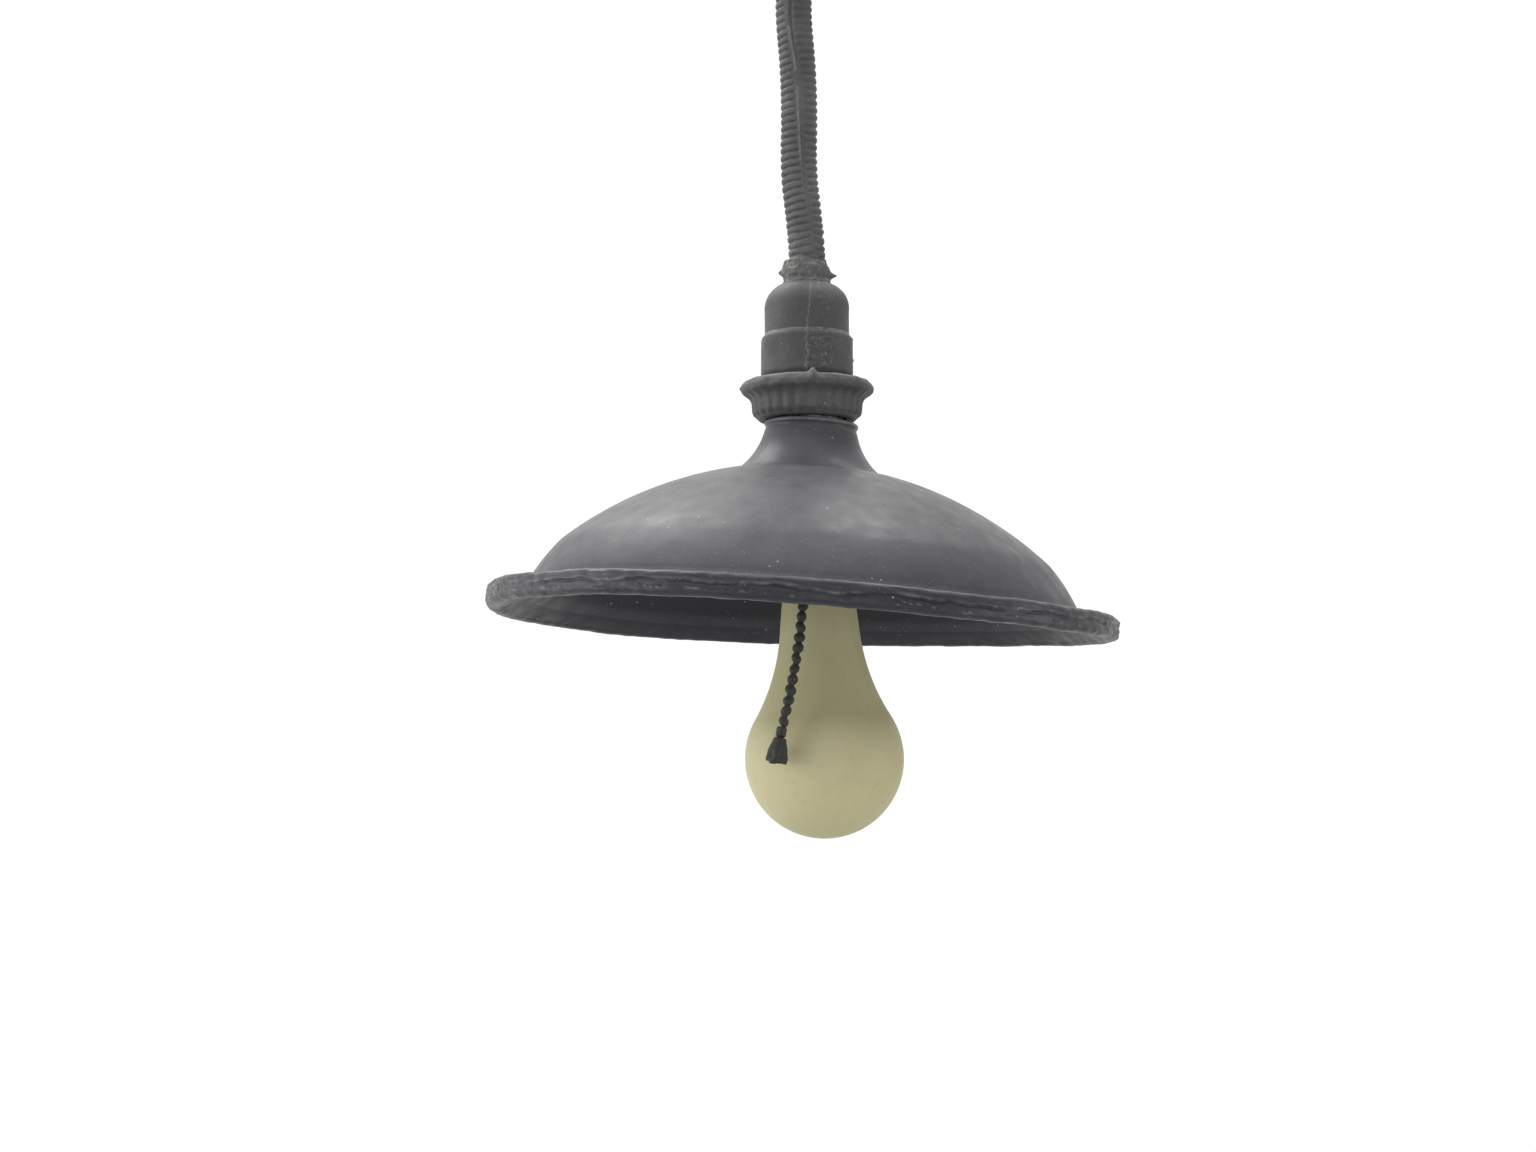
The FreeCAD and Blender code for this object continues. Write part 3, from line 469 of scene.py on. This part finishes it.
def make_boot(material):
    """The torn skirt of rubber where the cord enters the cap."""
    outline = follow([
        (7.35, -191.7), (9.3, -191.7), (8.9, -189.9), (9.5, -188.9), (9.4, -187.6), (9.2, -185.4),
        (8.6, -183.2), (7.7, -182.5), (7.35, -182.8)], 0.3)
    radius, height, angle = rings(outline, 220)
    rest = around(radius, height, angle)
    outside = np.clip((radius - 7.5) / 0.8, 0, 1)
    right = 0.5 + 0.5 * np.sin(angle)
    upper = np.clip((height + 187.5) / 4, 0, 1)
    radius = radius - outside * upper * right * 1.3
    for middle, tip, level in ((-math.pi / 2, 1.5, -187.2), (math.pi / 2, 1.9, -188.4)):
        radius = radius + outside * tip * hump(angle, middle, 0.17) * hump(height, level, 0.9)
    radius = radius + outside * (0.55 * lumps(rest, 2.6, 4) + 0.28 * lumps(rest, 1.1, 9))
    height = height + outside * 0.5 * lumps(rest, 2.2, 14)
    curl = hump(np.hypot((angle + 0.62) * 8, height + 184.6), 2.4, 0.45) * (angle < -0.35)
    radius = radius + outside * 0.5 * curl
    radius = np.maximum(radius, 7.3)
    # painted highlight: the curled ridge is painted pale; pale flecks and a pale bottom edge are added too
    wear_and_highlight = outside * (0.7 * curl + np.clip(1.6 * lumps(rest, 1.5, 21) - 0.35, 0, 0.8)
                      + 0.8 * hump(height, -191.2, 0.5) * (lumps(rest, 2, 3) > 0.05))
    return make_piece("torn_boot", around(radius, height, angle, LAMP_X), "pendant", material,
                      "cord_boot", wear_and_highlight=wear_and_highlight)


def upright_seam(angle, height):
    """The mould seam down the front of the cover, a little to the right of the middle at the top."""
    middle = np.interp(-height, [192, 200, 211, 229], [0.1, 0.055, -0.02, -0.03])
    return middle + 0.012 * np.sin(height * 1.7) + 0.008 * np.sin(height * 4.1)


def make_cap(material):
    """The domed top of the cover: a thin shell, finely divided outside and coarsely inside."""
    outer = follow([
        (14.9, -211.9), (15.7, -211.9), (16.05, -211.3), (16.05, -202), (9.6, -192, 9.7), (9.2, -191.6),
        (7.4, -191.6)], 0.4)
    inner = follow([(7.4, -192.9), (9.2, -192.9), (14.9, -201.5, -8.4), (14.9, -211.9)], 0.8)[:-1]
    outline = np.concatenate([outer, inner])
    radius, height, angle = rings(outline, 400)
    rest = around(radius, height, angle)
    seam = hump(angle, upright_seam(angle, height), 0.014)
    patch = hump(angle, 0.42, 0.3) * np.clip((height + 211.5) / 16, 0, 1)
    radius = radius + (0.24 * seam * (0.5 + lumps(rest, 1.4, 5)) + 0.13 * lumps(rest, 9, 1)
                       + 0.05 * lumps(rest, 1.8, 2) - 0.3 * patch * np.clip(lumps(rest, 1.3, 8), 0, 1))
    top = np.clip((height + 197) / 5, 0, 1)
    # painted highlight: the pale line round the cap's lower lip, where it meets the shell. The seam, the flecks
    # on top and the pits in the patch are pale wear.
    wear_and_highlight = (0.75 * seam + top * np.clip(1.3 * lumps(rest, 1.7, 12) - 0.25, 0, 0.7)
            + 0.3 * patch * (lumps(rest, 1.1, 15) > 0.2) + 0.5 * hump(height, -211.5, 0.3))
    return make_piece("domed_cap", around(radius, height, angle, LAMP_X), "pendant", material,
                      "socket_cap", wear_and_highlight=wear_and_highlight)


def make_shell(material):
    outline = follow([
        (15.3, -228.7), (16.2, -228.7), (17.3, -226.7), (17.45, -226), (17.45, -213.6), (17.2, -212.7),
        (16.2, -211.5), (16.05, -211), (15.9, -211.6), (15.3, -212)], 0.35)
    radius, height, angle = rings(outline, 420)
    rest = around(radius, height, angle)
    outside = radius > 15.8
    seam_angle = upright_seam(angle, height) + 0.05 * lumps(rest, 2.5, 7)
    patch = rise((angle - seam_angle) * 60) * rise((0.62 - angle) * 30)
    patch = patch * np.clip((height + 227.5) / 1.5, 0, 1)
    pits = np.clip(lumps(rest, 2.1, 3) + 0.5 * lumps(rest, 0.9, 6), -0.1, 1)
    edge = hump(angle, seam_angle, 0.018)
    radius = radius + outside * (-0.62 * patch * pits + 0.28 * edge * (0.4 + lumps(rest, 1.2, 9))
                                 + 0.12 * lumps(rest, 8, 2) + 0.05 * lumps(rest, 1.7, 4))
    bumps = outside * hump(angle, math.pi / 2, 0.05) * (hump(height, -212.5, 0.7) + hump(height, -221, 0.5))
    radius = radius + 0.45 * bumps
    # painted highlight: a pale line along the shell's top edge, where it meets the cap; the seam edge and the
    # pitted patch are pale wear
    top_line = hump(height, -211.25, 0.34) * (0.75 + 0.5 * lumps(rest, 3, 17))
    wear_and_highlight = outside * (0.95 * top_line + 0.5 * edge + patch * np.clip(1.2 * lumps(rest, 0.9, 5) - 0.25, 0, 0.6))
    points = around(radius, height, angle, LAMP_X)
    return make_piece("socket_sleeve", points, "pendant", material, "socket_shell", wear_and_highlight=wear_and_highlight)


def make_collar(material):
    """The fluted ring: a rounded flange with a mould bump on its near edge, over upright flutes."""
    outline = follow([
        (15.4, -244), (18.2, -244), (20.5, -241.9), (20.9, -241), (21.1, -238.4), (24, -234.2, -4.6),
        (24.5, -230.9, 2.4), (22.4, -229.2, 2.5), (15.4, -228.9)], 0.35)
    radius, height, angle = rings(outline, 560)
    rest = around(radius, height, angle)
    outside = np.clip((radius - 16) / 1.5, 0, 1)
    flange = np.clip((height + 235) / 2, 0, 1) * np.clip((radius - 20) / 2, 0, 1)
    flutes = np.clip((-height - 233.4) / 2.5, 0, 1) * np.clip((height + 243.6) / 1.6, 0, 1) * (radius > 19)
    radius = radius - flutes * 0.6 * (0.5 + 0.5 * np.cos(28 * angle + 0.6)) ** 1.3
    bump = hump(angle, 0.075, 0.055) * flange
    radius = radius + bump * 0.7 + flange * (0.3 * lumps(rest, 4, 2) + 0.18 * lumps(rest, 1.6, 5))
    for middle in (-math.pi / 2, math.pi / 2):
        radius = radius + 0.55 * flange * hump(angle, middle, 0.09) * (0.6 + lumps(rest, 2, 8))
    height = height + bump * 1.7 + flange * 0.22 * lumps(rest, 5, 12)
    radius = radius + outside * 0.08 * lumps(rest, 1.7, 16)
    # the flange's upper edge is painted paler; a small mark low on the near side and scattered flecks are pale
    # too
    upper_edge = hump(height - bump * 1.7, -229.6, 0.5) * np.clip((radius - 22) / 1.2, 0, 1)
    wear_and_highlight = outside * (upper_edge * (0.55 + 0.5 * lumps(rest, 2.2, 3))
                      + 0.8 * hump(angle, 0.31, 0.018) * hump(height, -240.6, 0.35)
                      + 0.5 * np.clip(lumps(rest, 1.3, 10) - 0.4, 0, 1))
    return make_piece("fluted_ring", around(radius, height, angle, LAMP_X), "pendant", material,
                      "fluted_collar", wear_and_highlight=wear_and_highlight)


# ---- shade ----

RIM_R = 117.9
ROLL_R = 3.5
RIM_Z = -317.9
DOME_R = 140
DOME_Z = -401.5
WALL = 1.4


def on_dome(radius, inside=0.0):
    return DOME_Z + math.sqrt((DOME_R - inside) ** 2 - radius ** 2)


def shade_outline():
    """The dish's outline, close-set where it needs detail, and which of its points are on the inside."""
    roll_x = RIM_R - ROLL_R
    outer = [
        (13.6, -244.9), (16.9, -244.9), (17.75, -245.5), (17.8, -246.4), (17.25, -247.1), (17.2, -247.8),
        (17.6, -248.8), (27, -264, 27), (34, on_dome(34), 9), (92, on_dome(92), -DOME_R), (102.6, -311.2, -70),
        (106, RIM_Z + ROLL_R, 4), (roll_x, -313.9)]
    roll = [
        (117, -314.1, -3.2), (RIM_R, -316.2, -2.4), (RIM_R, -320.2, -14), (116.6, -322, -2), (114, -322.3, -4)]
    inner = [
        (112.4, -321.3, -2), (106.5, -316.6, -30), (101, -312.7, -40), (91, on_dome(91, WALL), 69),
        (34, on_dome(34, WALL), DOME_R - WALL), (25.9, -265.3, -10), (16.2, -248.5, -28), (16.2, -246.3),
        (13.6, -246.3)]
    points = follow(outer + roll + inner, 0.4)
    number = np.arange(len(points))
    inside = number >= np.argmin(np.linalg.norm(points - np.array(inner[0][:2]), axis=1))
    detailed = (points[:, 0] > 105.5) | ((points[:, 0] < 19) & (points[:, 1] > -250))
    kept = detailed | (number % 4 == 0)
    return points[kept], inside[kept]


def make_shade(material):
    """The dish: warped like a saddle, with a thick rolled rim that is cracked along its length."""
    outline, inside = shade_outline()
    radius, height, angle = rings(outline, 640)
    rest = around(radius, height, angle)
    share = radius / RIM_R
    on_rim = np.clip((radius - 108) / 4, 0, 1)
    ring = around(np.full_like(radius, RIM_R), np.zeros_like(height), angle)
    level = RIM_Z + 1.3 * lumps(ring, 19, 4) + 0.6 * lumps(ring, 6, 8)
    crack = hump(height, level + 0.2, 0.42) * np.clip(0.9 + 2.2 * lumps(ring, 15, 12), 0, 1)
    second = hump(height, level - 1.7 + 1.2 * lumps(ring, 11, 3), 0.3)
    second = second * np.clip(2.6 * lumps(ring, 9, 20), 0, 1)
    third = hump(height, level + 2.2, 0.3) * np.clip(2.4 * lumps(ring, 13, 27), 0, 1)
    outer = np.clip((radius - 114.5) / 1.5, 0, 1)
    lip = hump(height, level + 0.95, 0.4) * np.clip(0.7 + 2 * lumps(ring, 12, 33), 0, 1)
    radius = radius + outer * (0.38 * lip - 0.75 * crack - 0.45 * second - 0.35 * third)
    rough = 0.55 * lumps(ring, 24, 6) + 0.3 * lumps(rest, 5, 9) + 0.14 * lumps(rest, 1.8, 13)
    radius = radius + on_rim * rough
    height = height + on_rim * (0.5 * lumps(ring, 30, 16) + 0.25 * lumps(rest, 4.5, 19))
    ends = np.abs(np.sin(angle)) ** 3
    radius = radius + outer * ends * (0.5 * lumps(rest, 2.2, 41) + 0.25 * lumps(rest, 1.1, 47))
    for middle in (-math.pi / 2, math.pi / 2):
        tear = outer * hump(angle, middle, 0.012)
        radius = radius + tear * (0.9 * lumps(rest, 1.3, 23) - 0.3)
    height = height + 0.25 * share * lumps(rest, 34, 2)
    # pale marks: a painted highlight along the rim's top lip, pale cracks and flecks of wear, paler crumbled
    # ends that also stand in for light on the rim's turning ends, and a paler lip round the neck
    wear_and_highlight = outer * np.clip(0.75 * lip * (0.5 + lumps(rest, 3, 5)) + 0.9 * second * (lumps(rest, 1.4, 7) > 0.1)
                           + 0.8 * np.clip(lumps(rest, 1.2, 29) - 0.5, 0, 1)
                           + ends * np.clip(0.2 + 0.5 * lumps(rest, 2.6, 51), 0, 0.5), 0, 0.85)
    wear_and_highlight = wear_and_highlight + 0.55 * hump(height, -245.7, 0.5) * (radius > 16.5) * (radius < 19)
    points = around(radius, height, angle)
    points[..., 2] += 3.0 * points[..., 0] * points[..., 1] / RIM_R ** 2
    points = turned_by(points, 3, (0, 0, SHADE_HINGE[2])) + np.array((SHADE_HINGE[0], 0, 0))
    # painted shade: near-black inside the dish, along the rim's near band (lighter towards its ends), over the
    # rim's top and in its cracks
    band = hump(height, RIM_Z - 1.2, 3.4) * outer * (0.85 + 0.35 * lumps(ring, 60, 40))
    band = band * (1.25 - 1.1 * ends)
    top = on_rim * np.clip((height - RIM_Z - 0.5) / 2, 0, 1)
    top = top * np.clip(0.6 + 0.7 * lumps(ring, 14, 44), 0, 1)
    dark = np.clip(0.97 * inside[:, None] + 0.7 * band + 0.5 * top + 0.9 * outer * (crack + second), 0, 0.97)
    return make_piece("dished_shade", points, "shade", material, "shade", wear_and_highlight=wear_and_highlight, dark=dark)


# ---- bulb and chain ----

def make_bulb(material):
    end, sphere_r, tall = -401.4, 29.7, 46
    waist = math.sqrt(sphere_r ** 2 - (tall - sphere_r) ** 2)
    outline = follow([
        (0, end), (waist, end + tall, sphere_r), (14.9, end + 78, -77), (13.3, -308.1), (12.3, -308.1),
        (13.9, end + 78), (waist - 0.85, end + tall - 0.5, 78), (0, end + 1, 1 - sphere_r)], 0.9)
    radius, height, angle = rings(outline, 160)
    rest = around(radius, height, angle)
    radius = radius * (1 + 0.0022 * lumps(rest, 16, 2))
    return make_piece("matt_bulb", in_core(around(radius, height, angle)), "bulb", material,
                      "bulb_glass")


CHAIN_TOP = np.array((8.5, -21.5, -276.4))
CHAIN_WAY = np.array((-0.175, -0.11, -1)) / math.sqrt(1 + 0.175 ** 2 + 0.11 ** 2)
BEAD_PITCH = 3.9
BEADS = 22


def along_chain(drop, radius, angle):
    """Points round the chain's line, which bows a little to the right half way down its free length."""
    bow = 0.85 * np.sin(math.pi * np.clip((drop - 42) / 46, 0, 1))
    line = CHAIN_TOP + drop[..., None] * CHAIN_WAY + bow[..., None] * np.array((1, 0, 0))
    side = np.array((1, 0, CHAIN_WAY[0]))
    near = np.array((0, -1, -CHAIN_WAY[1]))
    return line + (radius * np.sin(angle))[..., None] * side + (radius * np.cos(angle))[..., None] * near


def make_beads(material):
    """Cast beads that run into each other, each a little off its neighbours' line."""
    per_bead = 13
    drop = (np.arange(BEADS * per_bead) + 0.5) * BEAD_PITCH / per_bead
    bead = np.floor(drop / BEAD_PITCH)
    local = drop - (bead + 0.5) * BEAD_PITCH + 0.05
    radius = np.sqrt(np.clip(1 - (local / 1.98) ** 2, 0, 1)) * 1.95
    radius = np.maximum(radius, 1.0)[:, None] * np.ones((1, 28))
    angle = (np.arange(28) * 2 * math.pi / 28)[None] * np.ones((len(drop), 1))
    drops = drop[:, None] + 0.35 * np.sin(angle + bead[:, None] * 2.1)
    radius = radius * (1 + 0.06 * np.sin(2 * angle + bead[:, None] * 1.3))
    points = along_chain(drops, radius, angle)
    points = points + (0.16 * lumps(points, 5, 3))[..., None] * np.array((1, 1, 0))
    return make_piece("bead_chain", points, "chain", material, "pull_chain", False)


def make_bell(material):
    """The little ragged bell at the chain's end."""
    start = BEAD_PITCH * BEADS + 3.9
    outline = follow([
        (0, -0.1), (0, -5.6), (2.2, -8.2), (3.3, -9.1), (3.75, -8.4), (2.5, -1.5, 24), (1.9, -0.1, 1.8)], 0.25)
    radius, height, angle = rings(outline, 72)
    rest = around(radius, height, angle)
    low = np.clip((-height - 2) / 6, 0, 1)
    radius = radius + (radius > 0.8) * low * (0.75 * lumps(rest, 2.4, 4) + 0.3 * np.cos(5 * angle + 0.7))
    height = height + np.clip((-height - 7) / 2, 0, 1) * (0.9 * lumps(rest, 1.7, 9) + 0.35 * np.sin(3 * angle))
    off_axis = np.hypot(rest[..., 0], rest[..., 1]) > 1e-3
    radius = np.where(off_axis, np.maximum(radius, 0.05), 0)
    points = along_chain(start - height, radius, angle)
    return make_piece("chain_bell", points, "chain", material, "pull_bell")


# ---- carried-over pieces ----

def dress_nodes(rubbers):
    steel = metal("zinc_plate", (0.62, 0.63, 0.64), (0.45, 0.46, 0.46), 0.38)
    nickel = metal("nickel_plate", (0.66, 0.64, 0.6), (0.5, 0.48, 0.44), 0.28)
    brass = metal("brass_bare", (0.78, 0.58, 0.27), (0.5, 0.36, 0.16), 0.32)
    copper = metal("copper_bare", (0.8, 0.42, 0.27), (0.45, 0.22, 0.13), 0.34)
    spring = metal("spring_steel", (0.5, 0.5, 0.52), (0.34, 0.34, 0.36), 0.3)
    tungsten = metal("tungsten_wire", (0.32, 0.31, 0.3), (0.2, 0.2, 0.2), 0.4)
    base = metal("bulb_base_metal", (0.72, 0.71, 0.66), (0.5, 0.49, 0.44), 0.3)
    green = moulded("green_screw", (0.03, 0.2, 0.07), (0.02, 0.12, 0.05), 0.35)
    canopy = moulded("canopy_enamel", (0.06, 0.062, 0.064), (0.045, 0.046, 0.048), 0.45, 0.04)
    phenolic = moulded("phenolic_brown", (0.035, 0.022, 0.016), (0.02, 0.014, 0.011), 0.3)
    porcelain = moulded("porcelain", (0.78, 0.76, 0.7), (0.7, 0.67, 0.6), 0.2, 0.02)
    fibre = moulded("fibre_board", (0.3, 0.2, 0.11), (0.22, 0.14, 0.08), 0.8, 0.08)
    black_wire = moulded("wire_black", (0.02, 0.02, 0.021), (0.03, 0.03, 0.03), 0.45)
    white_wire = moulded("wire_white", (0.7, 0.69, 0.65), (0.6, 0.59, 0.55), 0.45)
    orange = moulded("connector_plastic", (0.75, 0.26, 0.04), (0.62, 0.2, 0.03), 0.4)
    grip = moulded("grip_nylon", (0.03, 0.031, 0.032), (0.045, 0.046, 0.047), 0.42)
    black_glass = moulded("bulb_black", (0.015, 0.015, 0.017), (0.03, 0.03, 0.03), 0.15, 0.02)
    uses = {
        steel: "crossbar canopy_studs hanger_nipple nipple_nut hanger_yoke yoke_nut yoke_pin swivel_fork",
        nickel: "canopy_nuts swivel_cross core_nipple core_locknut rotor_shaft",
        brass: "terminal_screw_line terminal_screw_neutral strap_line strap_neutral screw_shell contact_disc",
        copper: "centre_contact switch_leaf bulb_contact",
        spring: "return_spring pull_lever",
        tungsten: "bulb_filament bulb_leads",
        base: "bulb_base",
        green: "ground_screw",
        canopy: "canopy",
        phenolic: "terminal_block switch_body switch_rotor",
        porcelain: "lamp_skirt",
        fibre: "insulating_liner seat_washer",
        black_wire: "conductor_line",
        white_wire: "conductor_neutral",
        orange: "wire_connectors",
        grip: "cord_grip grip_nut",
        black_glass: "bulb_insulator",
        clear_glass(): "bulb_stem",
        rubbers["chain"]: "chain_coupling chain_guide",
        rubbers["cover"]: "retaining_ring",
    }
    for material, names in uses.items():
        for name in names.split():
            dress(nodes[name], material)


def make_rubbers():
    return {
        "sleeve": cast_rubber("sleeve_rubber", (0.085, 0.087, 0.086), (0.125, 0.127, 0.125), 0.5, 0.5, 0.04),
        "boot": cast_rubber("boot_rubber", (0.08, 0.082, 0.08), (0.125, 0.127, 0.122), 0.5, 0.7, 0.06),
        "cover": cast_rubber("cover_rubber", (0.068, 0.069, 0.073), (0.098, 0.099, 0.101), 0.5, 0.35, 0.05),
        "shade": cast_rubber("shade_rubber", (0.04, 0.041, 0.051), (0.056, 0.057, 0.067), 0.5, 0.9, 0.03,
                             (0.36, 0.5)),
        "chain": cast_rubber("chain_rubber", (0.035, 0.034, 0.031), (0.055, 0.054, 0.05), 0.5, 0.3, 0.05),
    }


make_camera()
make_world()
make_floor()
make_area_light("overhead", (-0.15, -0.1, 0.8), 4.4, 1.2)
make_area_light("left_window", (-0.34, 0.26, 0.34), 1.6, 0.34)
make_area_light("right_window", (0.2, 0.18, 0.43), 0.95, 0.24)
make_area_light("left_fill", (-1.3, -0.3, -0.2), 5, 0.9)
make_area_light("right_fill", (1.3, -0.3, -0.5), 3.5, 0.9)
make_area_light("front_low", (0.3, -1.2, -0.5), 1.4, 0.8)
bpy.context.scene.view_settings.view_transform = "Standard"

rubber = make_rubbers()
make_sleeve(rubber["sleeve"])
make_boot(rubber["boot"])
make_cap(rubber["cover"])
make_shell(rubber["cover"])
make_collar(rubber["cover"])
make_shade(rubber["shade"])
make_bulb(ivory())
make_beads(rubber["chain"])
make_bell(rubber["chain"])
dress_nodes(rubber)
